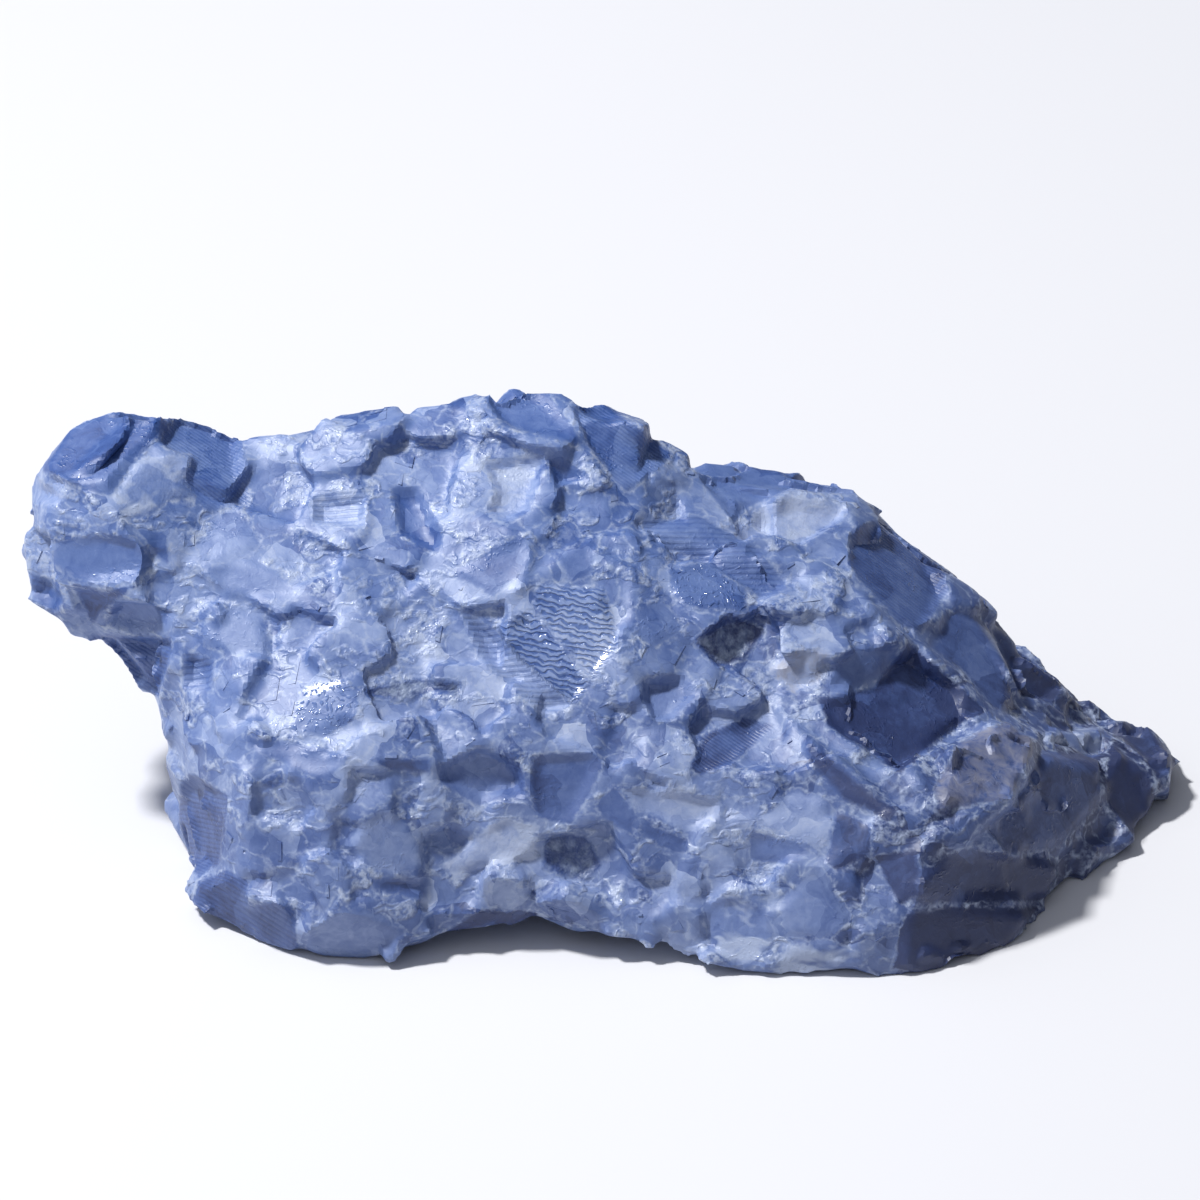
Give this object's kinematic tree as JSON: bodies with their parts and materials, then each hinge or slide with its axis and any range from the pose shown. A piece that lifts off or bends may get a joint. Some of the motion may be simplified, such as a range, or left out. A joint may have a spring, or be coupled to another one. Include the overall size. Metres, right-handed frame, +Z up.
{
  "type": "rough mineral specimen",
  "caption": "Raw chunk of blue calcite: a long broken stone of grown-together angular grains, with a thick rounded end, a thin tip and flat feet to stand on.",
  "frame": {"origin": "on the table, under the middle of the stone's box", "axes": "+X along the stone to its thin tip, -Y to the broad front, +Z up from the feet"},
  "size_m": [0.1514, 0.0778, 0.055],
  "materials": {
    "blue_calcite": "cloudy pale to deep blue stone, glassy on cleavage faces and frosted white where it is broken"
  },
  "bodies": {
    "root": {"calcite_chunk": "blue_calcite"}
  },
  "joints": []
}
